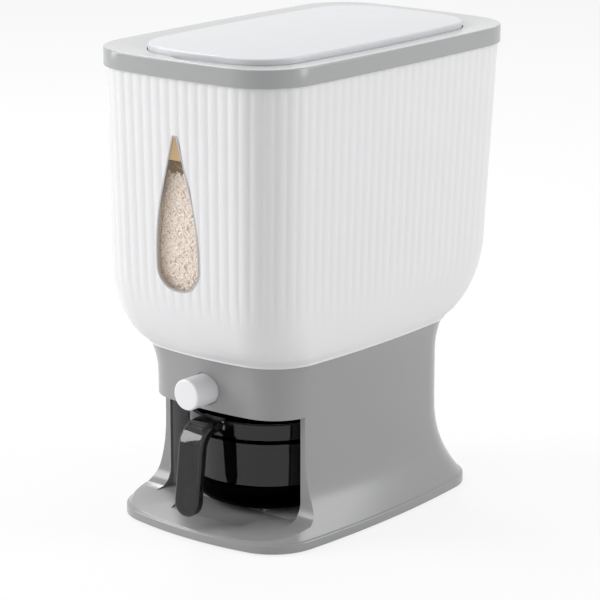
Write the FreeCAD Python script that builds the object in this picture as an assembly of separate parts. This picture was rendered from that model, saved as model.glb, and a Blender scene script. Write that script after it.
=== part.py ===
import FreeCAD, Part
import math
import os
from collections import namedtuple

# Rice dispenser: a reeded hopper with a hinged lid stands on a flared base.
# A spring-loaded push button slides a gate under the hopper, and rice drops
# into a cup that slides into the base like a drawer.
# Millimetres. Z is up, the front faces -Y, the origin is on the floor under
# the middle of the lid frame.

# ---- overall ----
overall_width = 200.0
overall_depth = 320.0
overall_height = 385.0

# ---- lid ----
band_height = 14.0            # outer band of the lid frame
lid_rise = 2.0                # lid panel above the frame's lip
band_wall = 1.5
frame_plate_bottom = 11.0     # underside of the frame plate below its lip
dish_lip_width = 1.6
dish_below_lid = 4.8           # foot of the dish below the panel's top
lid_width = 148.0
lid_length = 273.0
lid_y_mid = 2.5
lid_end_radius = 300.0
lid_corner_radius = 38.0
lid_gap = 0.9                 # gap all round between panel and frame
lid_wall = 2.4
lid_edge_round = 1.3
ledge_width = 6.0
ledge_thickness = 3.0
seal_width = 3.2
seal_edge = 0.5
seal_height = 1.1
seal_clearance = 0.2
scoop_radius = 30.0
scoop_reach = 11.0             # how far the scoop shows in front of the lid
scoop_depth = 7.4
scoop_under_lid = 1.6
collar_wall = 2.0
collar_depth = 10.0

# ---- lid hinge ----
hinge_to_lid_end = 7.0        # pin axis behind the panel's rear end
hinge_drop = 9.0              # pin axis below the panel's top
knuckle_width = 50.0
knuckle_radius = 3.4
knuckle_side_gap = 0.5
hinge_pin_radius = 1.5
hinge_pin_length = 22.0
pin_grip = 8.0                # length of each pin inside the frame's cheek
running_clearance = 0.05

# ---- hopper ----
hopper_wall = 2.5
hopper_floor_thickness = 3.0
seam_height = 145.0           # where hopper and base meet
seam_lip = 1.5                # upright lip at the foot of the hopper
shoulder_height = 215.0       # the bowl starts curving in here
bowl_turn = 0.909             # share of the full quarter turn that the bowl makes
shoulder_side_inset = 2.3
shoulder_front_inset = 2.5
shoulder_back_inset = 13.5
seam_width = 168.0
seam_front = -132.0
seam_back = 112.0
fit_gap = 0.3

# ---- sight window ----
window_tip_height = 324.0
window_low_height = 204.0
window_width = 41.0
window_tip_width = 3.0
window_corner_radius = 17.0
window_bottom_radius = 40.0
window_wide_height = 231.0
window_side_radius = 178.0
window_seal_width = 1.3
window_flange = 4.0
window_flange_thickness = 2.2

# ---- funnel and outlet ----
outlet_width = 46.0
outlet_length = 15.0
outlet_y = -58.0
spigot_wall = 2.0
funnel_wall = 2.0
funnel_top_height = 192.0
funnel_corner_room = 17.0     # the funnel's square corners clear the bowl's round ones
spigot_clearance = 0.3

# ---- base ----
base_wall = 2.8
deck_thickness = 3.5
base_top_inset = 1.5
foot_width = 194.0
foot_front = -149.5
foot_back = 126.5
rim_height = 9.0
rim_round = 1.8                # rounding of the foot's upper edge
rim_bottom = 1.5
waist_inset_side = 5.5
waist_inset_end = 6.5
waist_top_height = 115.0
waist_low_height = 77.0
cove_power = 2.2
flare_power = 2.5

# ---- bay for the cup ----
bay_half_width = 68.5
bay_front = -91.0             # leading edge of the side walls
bay_back = 45.0
bay_top = 101.0
bay_floor = 12.0
apron_height = 15.0
apron_inner = -130.0
sweep_radius = 16.0
sweep_low = 16.5
return_wall = 3.0
mouth_corner_radius = 3.5
liner_wall = 1.8
recess_front = -127.0
recess_front_half_width = 36.0
recess_neck = -111.0
recess_neck_half_width = 41.0
recess_back_half_width = 62.0
rail_height = 3.1
rail_width = 3.0
rail_spacing = 50.0

# ---- push button ----
button_radius = 12.5
button_height = 118.5
button_front = -148.0
button_travel = 17.0
button_wall = 2.0
button_face = 3.0
button_flange = 1.4
button_flange_thickness = 2.0
button_length = 34.0
guide_clearance = 0.1
guide_wall = 2.4
guide_flange_radius = 19.0
guide_flange_thickness = 2.0
guide_seat = -119.5
guide_flat = 0.6              # flat on the guide above the bay's roof line
wall_hole_clearance = 0.6
boss_radius = 7.5
boss_length = 8.0
rod_radius = 5.0
rod_length = 34.0
socket_clearance = 0.05
slot_depth = 11.0
rod_pin_radius = 1.5

# ---- gate ----
gate_thickness = 3.0
gate_half_width = 33.0
gate_side_clearance = 0.2
gate_lift_clearance = 0.1
port_margin = 5.5             # gate plate in front of its port
gate_overlap = 6.5            # gate plate behind the outlet at rest
tongue_half_width = 6.0
housing_half_width = 41.0
housing_front = -92.0
housing_back = 0.0
housing_rise = 4.0            # housing's top above the gate's middle
cover_thickness = 2.5
chute_below_ceiling = 4.0
chute_hole_clearance = 0.3

# ---- return spring ----
spring_mean_radius = 3.9
spring_wire = 1.0
spring_pitch = 4.0
spring_bore = 5.0
spring_end_wall = 4.0
spring_guide_radius = 2.2

# ---- cup ----
cup_top_height = 90.0
cup_floor_gap = 0.2
cup_width = 127.0
cup_front = -112.0
cup_back = 30.0
cup_end_radius = 66.0
cup_corner_radius = 60.0
cup_wall = 2.0
cup_draft = 2.0
cup_round = 15.0
cup_rim_height = 10.5
cup_rim_stand = 1.2

# ---- cup handle ----
handle_width = 24.0
handle_thickness = 9.0
handle_wall = 2.2
handle_top = 93.0
handle_front_top = -145.0
handle_front_low = -154.0
handle_low = 19.0
handle_bend = 21.0
handle_edge_round = 2.6

# ---- underside ----
plate_thickness = 2.5
plate_height = 3.6
plate_gap = 0.4
foot_radius = 9.0
foot_side = 70.0
foot_front_y = -118.0
foot_back_y = 98.0

# ---- screws ----
screw_radius = 1.5
screw_head_radius = 2.9
screw_head_height = 2.0
screw_hole_clearance = 0.2
screw_post_radius = 4.5
housing_screw_inset = 4.5
bottom_post_side = 82.0
bottom_post_front = -70.0
bottom_post_back = 85.0
hopper_screw_side = 62.0
hopper_screw_front = -98.0
hopper_screw_back = 85.0
hopper_post_height = 9.0

# ---- heights and places that follow from the sizes above ----
lip_height = overall_height - lid_rise
housing_top = button_height + housing_rise
band_bottom = lip_height - band_height
plate_bottom = lip_height - frame_plate_bottom
ledge_top = plate_bottom + ledge_thickness
lid_bottom = ledge_top + seal_height + seal_clearance
lid_top = overall_height
dish_low = lid_top - dish_below_lid
deck_bottom = seam_height - deck_thickness
hopper_inside = seam_height + hopper_floor_thickness
bowl_end = seam_height + seam_lip
ceiling_top = bay_top + liner_wall
floor_bottom = bay_floor - liner_wall
gate_bottom = button_height - gate_thickness / 2
gate_top = button_height + gate_thickness / 2
housing_floor = gate_bottom - gate_lift_clearance
cover_pad = gate_top + gate_lift_clearance
cover_top = housing_top + cover_thickness
spigot_end = housing_top + 1.0
cup_bottom = bay_floor + rail_height + cup_floor_gap
outlet_front_y = outlet_y - outlet_length / 2
outlet_back_y = outlet_y + outlet_length / 2
port_y = outlet_y - button_travel
gate_front = port_y - outlet_length / 2 - port_margin
gate_back = outlet_back_y + gate_overlap
lid_rear = lid_y_mid + lid_length / 2
hinge_y = lid_rear + hinge_to_lid_end
hinge_z = lid_top - hinge_drop
rod_front = button_front + button_face
rod_back = rod_front + rod_length
rod_pin_y = rod_back - slot_depth / 2

X = FreeCAD.Vector(1, 0, 0)
Y = FreeCAD.Vector(0, 1, 0)
Z = FreeCAD.Vector(0, 0, 1)


def vec(x, y, z):
    return FreeCAD.Vector(x, y, z)


# ---- rounded plans ----
# A plan is a rounded rectangle with bowed sides and ends.

Plan = namedtuple("Plan", "half_x front back side_r end_r corner_r")

frame_plan = Plan(overall_width / 2, -overall_depth / 2, overall_depth / 2, 3000.0, 800.0, 46.0)
seam_plan = Plan(seam_width / 2, seam_front, seam_back, 900.0, 300.0, 44.0)
foot_plan = Plan(foot_width / 2, foot_front, foot_back, 900.0, 300.0, 42.0)
lid_plan = Plan(lid_width / 2, lid_y_mid - lid_length / 2, lid_rear, 1500.0,
                lid_end_radius, lid_corner_radius)
cup_plan = Plan(cup_width / 2, cup_front, cup_back, 900.0, cup_end_radius, cup_corner_radius)


def inset(plan, side, front=None, back=None):
    """The plan drawn in by side all round, or by its own amount at each end."""
    front = side if front is None else front
    back = side if back is None else back
    return Plan(plan.half_x - side, plan.front + front, plan.back - back,
                plan.side_r - side, plan.end_r - side, plan.corner_r - side)


def between(plan_a, plan_b, share):
    return Plan(*[a + (b - a) * share for a, b in zip(plan_a, plan_b)])


def plan_wire(plan, z):
    """Closed wire of four long arcs and four corner arcs, all tangent."""
    y_mid = (plan.front + plan.back) / 2
    half_y = (plan.back - plan.front) / 2
    side = FreeCAD.Vector(plan.half_x - plan.side_r, 0, 0)
    end = FreeCAD.Vector(0, half_y - plan.end_r, 0)
    reach_side = plan.side_r - plan.corner_r
    reach_end = plan.end_r - plan.corner_r
    span = end.sub(side)
    along = (reach_side ** 2 - reach_end ** 2 + span.Length ** 2) / (2 * span.Length)
    across = math.sqrt(reach_side ** 2 - along ** 2)
    unit = span.normalize()
    corner = side + unit * along + vec(-unit.y, unit.x, 0) * across
    to_side = (corner - side).normalize()
    to_end = (corner - end).normalize()
    diagonal = (to_side + to_end).normalize()
    p_side = corner + to_side * plan.corner_r
    p_mid = corner + diagonal * plan.corner_r
    p_end = corner + to_end * plan.corner_r

    def place(point, sx, sy):
        return vec(sx * point.x, y_mid + sy * point.y, z)

    x_tip = vec(plan.half_x, 0, 0)
    y_tip = vec(0, half_y, 0)
    arcs = []
    for sx, sy in ((1, 1), (-1, 1), (-1, -1), (1, -1)):
        if sx * sy > 0:
            arcs.append((place(p_side, sx, sy), place(p_mid, sx, sy), place(p_end, sx, sy)))
            arcs.append((place(p_end, sx, sy), place(y_tip, sx, sy), place(p_end, -sx, sy)))
        else:
            arcs.append((place(p_end, sx, sy), place(p_mid, sx, sy), place(p_side, sx, sy)))
            arcs.append((place(p_side, sx, sy), place(x_tip, sx, sy), place(p_side, sx, -sy)))
    return Part.Wire([Part.Arc(*points).toShape() for points in arcs])


def prism(plan, low, high):
    return Part.Face(plan_wire(plan, low)).extrude(vec(0, 0, high - low))


def loft(sections):
    """Solid through (plan, height) pairs."""
    return Part.makeLoft([plan_wire(plan, z) for plan, z in sections], True, True)


# ---- small shape helpers ----

def box(x0, x1, y0, y1, z0, z1):
    return Part.makeBox(x1 - x0, y1 - y0, z1 - z0, vec(x0, y0, z0))


def slab(half_x, y0, y1, z0, z1):
    return box(-half_x, half_x, y0, y1, z0, z1)


def rod_along(axis, start, radius, length):
    return Part.makeCylinder(radius, length, start, axis)


def tube_along(axis, start, outer, inner, length):
    return rod_along(axis, start, outer, length).cut(rod_along(axis, start, inner, length))


def slot_block(half_x, y0, y1, z0, z1, radius):
    """Block with its four upright edges rounded."""
    block = slab(half_x, y0, y1, z0, z1)
    upright = [e for e in block.Edges if abs(e.tangentAt(e.FirstParameter).z) > 0.9]
    return block.makeFillet(radius, upright)


def profile_across(points, half_x):
    """Extrude a closed outline in the YZ plane from -half_x to half_x."""
    wire = Part.makePolygon([vec(-half_x, y, z) for y, z in points + points[:1]])
    return Part.Face(wire).extrude(vec(2 * half_x, 0, 0))


def screw(head_seat, axis, length):
    """Pan-head screw: head outside head_seat, shank along axis."""
    head = rod_along(axis * -1, head_seat, screw_head_radius, screw_head_height)
    slot = Part.makeBox(3.4, 0.8, 0.9, vec(-1.7, -0.4, 0))
    slot.Placement = FreeCAD.Placement(head_seat - axis * screw_head_height,
                                       FreeCAD.Rotation(Z, axis))
    return head.cut(slot).fuse(rod_along(axis, head_seat, screw_radius, length)).removeSplitter()


def corners_of(side, front, back):
    return [(sx * side, y) for sx in (-1, 1) for y in (front, back)]


# ---- hopper ----

def hopper_plan(z):
    """Outer plan of the hopper at height z: drafted wall, then the bowl."""
    top = inset(frame_plan, band_wall + fit_gap)
    shoulder = inset(top, shoulder_side_inset, shoulder_front_inset, shoulder_back_inset)
    if z >= shoulder_height:
        share = (plate_bottom - z) / (plate_bottom - shoulder_height)
        return between(top, shoulder, share)
    depth = (shoulder_height - z) / (shoulder_height - bowl_end) * bowl_turn
    turned = 1 - math.sqrt(1 - min(depth, bowl_turn) ** 2)
    return between(shoulder, seam_plan, turned / (1 - math.sqrt(1 - bowl_turn ** 2)))


def hopper_heights(low, high):
    drop = plate_bottom - shoulder_height
    upright = [shoulder_height + drop * k / 3 for k in (3, 2, 1, 0)]
    bowl_drop = shoulder_height - bowl_end
    bowl = [shoulder_height - bowl_drop * k for k in (0.18, 0.34, 0.48, 0.61, 0.72, 0.82, 0.91, 1.0)]
    inner = [z for z in upright + bowl if low + 1 < z < high - 1]
    return [high] + inner + [low]


def hopper_body(wall, low, high):
    heights = hopper_heights(max(low, bowl_end), high)
    body = loft([(inset(hopper_plan(z), wall), z) for z in heights])
    if low < bowl_end:
        body = body.fuse(prism(inset(seam_plan, wall), low, bowl_end))
    return body


def drop_outline(y):
    """Tear drop in the XZ plane: straight flanks to the tip, full sides, blunt foot."""
    half = window_width / 2
    tip = window_tip_width / 2
    # the flank leaves the side arc where its line reaches the tip
    side_x = half - window_side_radius
    rise = window_tip_height - window_wide_height
    reach = math.hypot(tip - side_x, rise)
    turn = math.atan2(rise, tip - side_x) - math.acos(window_side_radius / reach)
    flank = (side_x + window_side_radius * math.cos(turn),
             window_wide_height + window_side_radius * math.sin(turn))
    belly = (side_x + window_side_radius * math.cos(turn / 2),
             window_wide_height + window_side_radius * math.sin(turn / 2))
    corner_x = half - window_corner_radius
    foot_z = window_low_height + window_bottom_radius
    between_r = window_bottom_radius - window_corner_radius
    corner_z = foot_z - math.sqrt(between_r ** 2 - corner_x ** 2)
    lean = math.atan2(corner_x, foot_z - corner_z)
    mid = lean / 2 + math.pi / 4
    heel = (corner_x + window_corner_radius * math.sin(mid),
            corner_z - window_corner_radius * math.cos(mid))
    toe = (corner_x + window_corner_radius * math.sin(lean),
           corner_z - window_corner_radius * math.cos(lean))

    def at(point, side=1):
        return vec(side * point[0], y, point[1])

    top = (tip, window_tip_height)
    wide = (half, window_wide_height)
    low = (half, corner_z)
    edges = [Part.makeLine(at(top, -1), at(top)), Part.makeLine(at(top), at(flank)),
             Part.Arc(at(flank), at(belly), at(wide)).toShape(), Part.makeLine(at(wide), at(low)),
             Part.Arc(at(low), at(heel), at(toe)).toShape(),
             Part.Arc(at(toe), at((0, window_low_height)), at(toe, -1)).toShape(),
             Part.Arc(at(toe, -1), at(heel, -1), at(low, -1)).toShape(),
             Part.makeLine(at(low, -1), at(wide, -1)),
             Part.Arc(at(wide, -1), at(belly, -1), at(flank, -1)).toShape(),
             Part.makeLine(at(flank, -1), at(top, -1))]
    return Part.Wire(edges)


def drop_prism(grow, y0, y1):
    """The drop grown by grow all round and extruded along Y."""
    face = Part.Face(drop_outline(y0))
    if grow:
        face = face.makeOffset2D(grow)
    return face.extrude(vec(0, y1 - y0, 0))


WINDOW_FROM = -overall_depth / 2 - 10
WINDOW_TO = -overall_depth / 2 + 40


def hopper_screw_places():
    return corners_of(hopper_screw_side, hopper_screw_front, hopper_screw_back)


def make_hopper_shell():
    outer = hopper_body(0, seam_height, plate_bottom)
    inner = hopper_body(hopper_wall, hopper_inside, plate_bottom)
    shell = outer.cut(inner)
    shell = shell.cut(drop_prism(window_seal_width, WINDOW_FROM, WINDOW_TO))
    spigot_hole = spigot_block(spigot_clearance, seam_height - 1, hopper_inside + 1)
    shell = shell.cut(spigot_hole)
    for x, y in hopper_screw_places():
        post = rod_along(Z, vec(x, y, hopper_inside), screw_post_radius, hopper_post_height)
        hole = rod_along(Z, vec(x, y, seam_height), screw_radius, hopper_post_height)
        shell = shell.fuse(post).cut(hole)
    return shell


def make_window_seal():
    ring = drop_prism(window_seal_width, WINDOW_FROM, WINDOW_TO)
    ring = ring.cut(drop_prism(0, WINDOW_FROM, WINDOW_TO))
    wall = hopper_body(0, seam_height, plate_bottom).cut(
        hopper_body(hopper_wall, hopper_inside, plate_bottom))
    return wall.common(ring)


def make_window_lens():
    pane = hopper_body(0.4, seam_height, plate_bottom).cut(
        hopper_body(hopper_wall, hopper_inside, plate_bottom))
    pane = pane.common(drop_prism(0, WINDOW_FROM, WINDOW_TO))
    back = hopper_body(hopper_wall, hopper_inside, plate_bottom).cut(
        hopper_body(hopper_wall + window_flange_thickness, hopper_inside, plate_bottom))
    back = back.common(drop_prism(window_flange, WINDOW_FROM, WINDOW_TO))
    return pane.fuse(back)


# ---- funnel and outlet ----

def outlet_block(grow, low, high):
    return slab(outlet_width / 2 + grow, outlet_front_y - grow, outlet_back_y + grow, low, high)


def spigot_block(grow, low, high):
    return outlet_block(spigot_wall + grow, low, high)


def rect_wire(half_x, y0, y1, z):
    corners = [vec(half_x, y0, z), vec(half_x, y1, z), vec(-half_x, y1, z), vec(-half_x, y0, z)]
    return Part.makePolygon(corners + corners[:1])


def funnel_form(grow, low):
    """Four-sided hopper floor from its top edge down to the outlet."""
    top = hopper_plan(funnel_top_height)
    margin = hopper_wall + funnel_corner_room + funnel_wall - grow
    half_x = top.half_x - margin
    upper = rect_wire(half_x, top.front + margin, top.back - margin, funnel_top_height)
    lower = rect_wire(outlet_width / 2 + grow, outlet_front_y - grow, outlet_back_y + grow, low)
    return Part.makeLoft([upper, lower], True, True)


def make_hopper_funnel():
    """Sloping floor with a brim that follows the hopper's wall."""
    low = hopper_inside + 2
    funnel = funnel_form(funnel_wall, low).cut(funnel_form(0, low))
    brim_top = funnel_top_height + funnel_wall
    rim = hopper_body(hopper_wall + fit_gap, funnel_top_height, brim_top)
    brim = rim.cut(funnel_form(0, low)).cut(brim_opening(brim_top))
    spigot = spigot_block(0, spigot_end, low).cut(outlet_block(0, spigot_end, low))
    shoulder = spigot_block(3, hopper_inside, low).cut(outlet_block(0, hopper_inside, low))
    return funnel.fuse([brim, spigot, shoulder]).removeSplitter()


def brim_opening(top):
    plan = hopper_plan(funnel_top_height)
    margin = hopper_wall + funnel_corner_room + funnel_wall
    return slab(plan.half_x - margin, plan.front + margin, plan.back - margin,
                funnel_top_height - 1, top + 1)


# ---- lid ----

def make_lid_frame():
    outer = prism(frame_plan, band_bottom, lip_height)
    top_edges = [e for e in outer.Edges if e.BoundBox.ZMin > lip_height - 0.1]
    outer = outer.makeFillet(1.2, top_edges)
    outer = outer.cut(prism(inset(frame_plan, band_wall), band_bottom - 1, plate_bottom))
    dish = loft([(inset(frame_plan, dish_lip_width), lip_height),
                 (inset(lid_plan, -lid_gap), dish_low)])
    dish = dish.fuse(prism(inset(frame_plan, dish_lip_width), lip_height, lip_height + 5))
    outer = outer.cut(dish)
    outer = outer.cut(prism(inset(lid_plan, -lid_gap), ledge_top, lip_height + 5))
    outer = outer.cut(prism(inset(lid_plan, ledge_width), plate_bottom - 1, lip_height))
    collar_plan = inset(hopper_plan(plate_bottom), hopper_wall + fit_gap)
    low = plate_bottom - collar_depth
    low_plan = inset(hopper_plan(low), hopper_wall + fit_gap)
    collar = prism(low_plan, low, plate_bottom).cut(
        prism(inset(low_plan, collar_wall), low - 1, plate_bottom + 1))
    bridge = prism(collar_plan, plate_bottom, plate_bottom + 1).cut(
        prism(inset(low_plan, collar_wall), low - 1, plate_bottom + 2))
    frame = outer.fuse([collar, bridge])
    frame = frame.cut(finger_scoop()).cut(hinge_slot())
    for side in (-1, 1):
        start = vec(side * (knuckle_width / 2 - 1), hinge_y, hinge_z)
        frame = frame.cut(rod_along(X * side, start, hinge_pin_radius, pin_grip + 1))
    return frame.removeSplitter()


def finger_scoop():
    scoop = rod_along(Z, vec(0, lid_plan.front - scoop_reach + scoop_radius, lip_height - scoop_depth),
                      scoop_radius, scoop_depth + 5)
    low_edge = [e for e in scoop.Edges if e.BoundBox.ZMax < lip_height - scoop_depth + 0.1]
    scoop = scoop.makeFillet(5.0, low_edge)
    return scoop.common(slab(overall_width, -overall_depth, lid_plan.front + scoop_under_lid,
                             plate_bottom, overall_height + 1))


def hinge_slot():
    return slab(knuckle_width / 2 + knuckle_side_gap, lid_rear - 8,
                hinge_y + knuckle_radius + 1.6, plate_bottom - 1, lip_height + 5)


def make_lid_panel():
    panel = prism(lid_plan, lid_bottom, lid_top)
    top_edges = [e for e in panel.Edges if e.BoundBox.ZMin > lid_top - 0.1]
    panel = panel.makeFillet(lid_edge_round, top_edges)
    panel = panel.cut(prism(inset(lid_plan, lid_wall), lid_bottom - 1, lid_top - lid_wall))
    half = knuckle_width / 2
    barrel = rod_along(X, vec(-half, hinge_y, hinge_z), knuckle_radius, 2 * half)
    web_top = hinge_z + knuckle_radius
    web = slab(half, lid_rear - 6, hinge_y, max(lid_bottom, hinge_z), web_top)
    panel = panel.fuse([barrel, web])
    for side in (-1, 1):
        start = vec(side * (half + 1), hinge_y, hinge_z)
        bore = rod_along(X * -side, start, hinge_pin_radius + running_clearance,
                         hinge_pin_length - pin_grip + 1.5)
        panel = panel.cut(bore)
    return panel.removeSplitter()


def make_lid_hinge_pins():
    start = knuckle_width / 2 + knuckle_side_gap + pin_grip - knuckle_side_gap
    pins = [rod_along(X * -side, vec(side * start, hinge_y, hinge_z),
                      hinge_pin_radius, hinge_pin_length) for side in (-1, 1)]
    return Part.makeCompound(pins)


def make_lid_seal():
    outer = inset(lid_plan, ledge_width - seal_width - seal_edge)
    ring = prism(outer, ledge_top, ledge_top + seal_height)
    return ring.cut(prism(inset(outer, seal_width), ledge_top - 1, lid_top))


# ---- base ----

def base_top_plan():
    return inset(seam_plan, base_top_inset)


def waist_plan():
    return inset(base_top_plan(), waist_inset_side, waist_inset_end, waist_inset_end)


def base_plan(z):
    """Outer plan of the stand: foot rim, flare, waist and the cove under the hopper."""
    if z >= waist_top_height:
        share = (z - waist_top_height) / (seam_height - waist_top_height)
        return between(waist_plan(), base_top_plan(), share ** cove_power)
    if z >= waist_low_height:
        return waist_plan()
    if z >= rim_height:
        share = (waist_low_height - z) / (waist_low_height - rim_height)
        return between(waist_plan(), inset(foot_plan, rim_round), share ** flare_power)
    turn = (z - rim_height) / rim_round + 1
    return inset(foot_plan, rim_round * (1 - math.sqrt(1 - turn ** 2)))


def base_heights(high):
    flare = waist_low_height - rim_height
    low = [rim_height + flare * k for k in (0.05, 0.12, 0.2, 0.3, 0.4, 0.52, 0.66, 0.82, 1.0)]
    waist = [(waist_low_height + waist_top_height) / 2, waist_top_height]
    cove = seam_height - waist_top_height
    upper = [waist_top_height + cove * k for k in (0.25, 0.45, 0.62, 0.77, 0.89, 1.0)]
    inner = [z for z in low + waist + upper if z < high - 1]
    edge = [rim_height - rim_round * k for k in (1.0, 0.6, 0.3, 0.1, 0.0)]
    return edge + inner + [high]


def base_body(wall, low, high):
    body = loft([(inset(base_plan(z), wall), z) for z in base_heights(high)])
    return body.fuse(prism(inset(foot_plan, wall), low, rim_height - rim_round))


def bay_profile(grow):
    """Side view of the front opening: apron slope, sweep and upright edge."""
    centre_y = bay_front - sweep_radius
    centre_z = sweep_low - 1.5 + sweep_radius
    radius = sweep_radius + grow
    low_turn = math.asin((centre_z - sweep_low) / sweep_radius)
    turns = [low_turn * (1 - k / 10) for k in range(11)]
    sweep = [(centre_y + radius * math.cos(a), centre_z - radius * math.sin(a)) for a in turns]
    far = foot_front - 30
    start = [(far, rim_height - grow), (foot_front + 1.5, rim_height - grow)]
    return start + sweep + [(bay_front + grow, bay_top + grow), (far, bay_top + grow)]


def recess_prism(shrink, low, high):
    """Shallow tray floor that narrows towards the front."""
    half = [(recess_back_half_width, bay_front + return_wall + 1), (recess_back_half_width, bay_front),
            (recess_neck_half_width, recess_neck), (recess_front_half_width, recess_front)]
    points = [(x - shrink, y) for x, y in half[:-1]]
    points.append((half[-1][0] - shrink, half[-1][1] + shrink))
    outline = points + [(-x, y) for x, y in reversed(points)]
    wire = Part.makePolygon([vec(x, y, low) for x, y in outline + outline[:1]])
    return Part.Face(wire).extrude(vec(0, 0, high - low))


def bottom_screw_places():
    return corners_of(bottom_post_side, bottom_post_front, bottom_post_back)


def make_base_shell():
    """Hollow stand. A skin and two cheeks close its wall round the front opening."""
    outer = base_body(0, rim_bottom, seam_height)
    inner = base_body(base_wall, rim_bottom - 1, deck_bottom)
    opening = profile_across(bay_profile(0), overall_width)
    opening_back = profile_across(bay_profile(return_wall), overall_width)
    solid = outer.cut(opening)
    skin = solid.common(opening_back)
    cheeks = solid.common(slab(bay_half_width + return_wall, apron_inner - 2,
                               bay_front + return_wall, bay_floor - return_wall, bay_top))
    boss = solid.common(rod_along(Y, vec(0, foot_front, button_height), guide_flange_radius,
                                  guide_seat - foot_front))
    posts = [outer.common(rod_along(Z, vec(x, y, plate_height + plate_thickness),
                                    screw_post_radius, 26)) for x, y in bottom_screw_places()]
    shell = outer.cut(inner).cut(opening).fuse([skin, cheeks, boss] + posts)
    shell = shell.cut(mouth_block())
    shell = shell.cut(recess_prism(0, bay_floor, apron_height + 1))
    shell = shell.cut(rod_along(Y, vec(0, foot_front, button_height),
                                button_radius + wall_hole_clearance, guide_seat - foot_front + 1))
    shell = shell.cut(roof_pocket(guide_flange_radius, guide_seat))
    shell = shell.cut(roof_pocket(housing_half_width + 2, housing_front - 2))
    shell = shell.cut(cover_window())
    for x, y in hopper_screw_places():
        shell = shell.cut(rod_along(Z, vec(x, y, deck_bottom - 1),
                                    screw_radius + screw_hole_clearance, deck_thickness + 1))
    for x, y in bottom_screw_places():
        shell = shell.cut(rod_along(Z, vec(x, y, plate_height), screw_radius, 14))
    return shell.removeSplitter()


def mouth_block():
    """Passage through the return wall, with rounded upper corners."""
    block = slab(bay_half_width, foot_front - 1, bay_front + return_wall + 1,
                 apron_height, bay_top)
    upper = [e for e in block.Edges
             if e.BoundBox.ZMin > bay_top - 0.1 and e.BoundBox.XLength < 0.1]
    return block.makeFillet(mouth_corner_radius, upper)


def roof_pocket(half_x, y0):
    """Room through the opening's roof for the button guide or the gate housing."""
    return slab(half_x + fit_gap, y0, bay_front + return_wall + 1, bay_top - 1,
                bay_top + return_wall + 1)


def cover_window():
    """Hole in the deck that the funnel's spigot comes down through."""
    return slot_block(outlet_width / 2 + spigot_wall + 4, outlet_front_y - spigot_wall - 4,
                      outlet_back_y + spigot_wall + 4, deck_bottom - 1, seam_height + 1, 4)


def make_bay_liner():
    """Walls, floor and ceiling of the bay behind the front frame."""
    front = bay_front + return_wall
    outside = slab(bay_half_width + liner_wall, front, bay_back + liner_wall,
                   floor_bottom, ceiling_top)
    inside = slab(bay_half_width, front - 1, bay_back, bay_floor, bay_top)
    shelf = slab(housing_half_width + 2, housing_front - 2 + fit_gap, front + 1,
                 bay_top, ceiling_top)
    liner = outside.cut(inside).fuse(shelf)
    for side in (-1, 1):
        x = side * rail_spacing / 2
        rail = box(x - rail_width / 2, x + rail_width / 2, front + 4, bay_back,
                   bay_floor, bay_floor + rail_height)
        liner = liner.fuse(rail)
    liner = liner.cut(spigot_block(chute_hole_clearance, bay_top - 1, ceiling_top + 1))
    for x, y in housing_screw_places():
        liner = liner.cut(rod_along(Z, vec(x, y, bay_top - 1), screw_radius, liner_wall + 2))
    return liner.removeSplitter()


def make_bottom_plate():
    """Cover of the underside with sockets for the feet and posts under the bay."""
    plan = inset(foot_plan, base_wall + plate_gap)
    plate = prism(plan, plate_height, plate_height + plate_thickness)
    top = plate_height + plate_thickness
    for x, y in corners_of(bay_half_width - 12, bay_front + 20, bay_back - 15):
        plate = plate.fuse(rod_along(Z, vec(x, y, top), screw_post_radius, floor_bottom - top))
    for x, y in bottom_screw_places():
        plate = plate.cut(rod_along(Z, vec(x, y, plate_height - 1),
                                    screw_radius + screw_hole_clearance, plate_thickness + 2))
    for x, y in foot_places():
        plate = plate.cut(rod_along(Z, vec(x, y, plate_height - 1), foot_radius - 4,
                                    plate_thickness + 2))
    return plate


def foot_places():
    return corners_of(foot_side, foot_front_y, foot_back_y)


def make_rubber_feet():
    feet = []
    for x, y in foot_places():
        pad = rod_along(Z, vec(x, y, 0), foot_radius, plate_height)
        low = [e for e in pad.Edges if e.BoundBox.ZMax < 0.1]
        pad = pad.makeFillet(1.0, low)
        stem = rod_along(Z, vec(x, y, plate_height), foot_radius - 4, plate_thickness)
        feet.append(pad.fuse(stem))
    return Part.makeCompound(feet)


# ---- push button ----

def make_button_cap():
    start = vec(0, button_front, button_height)
    barrel = rod_along(Y, start, button_radius, button_length)
    front = [e for e in barrel.Edges if e.BoundBox.YMax < button_front + 0.1]
    barrel = barrel.makeFillet(1.6, front)
    inside = vec(0, button_front + button_face, button_height)
    barrel = barrel.cut(rod_along(Y, inside, button_radius - button_wall, button_length))
    boss = tube_along(Y, inside, boss_radius, rod_radius + socket_clearance, boss_length)
    flange_y = button_front + button_length
    flange = tube_along(Y, vec(0, flange_y, button_height), button_radius + button_flange,
                        button_radius - button_wall, button_flange_thickness)
    return barrel.fuse([boss, flange]).removeSplitter()


def make_button_guide():
    bore = button_radius + guide_clearance
    sleeve_length = button_front + button_length - fit_gap - guide_seat
    flange = tube_along(Y, vec(0, guide_seat, button_height), guide_flange_radius, bore,
                        guide_flange_thickness)
    sleeve = tube_along(Y, vec(0, guide_seat, button_height), bore + guide_wall, bore,
                        sleeve_length)
    low = slab(guide_flange_radius + 1, guide_seat - 1, bay_front, 0, bay_top + guide_flat)
    return flange.fuse(sleeve).cut(low).removeSplitter()


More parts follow.
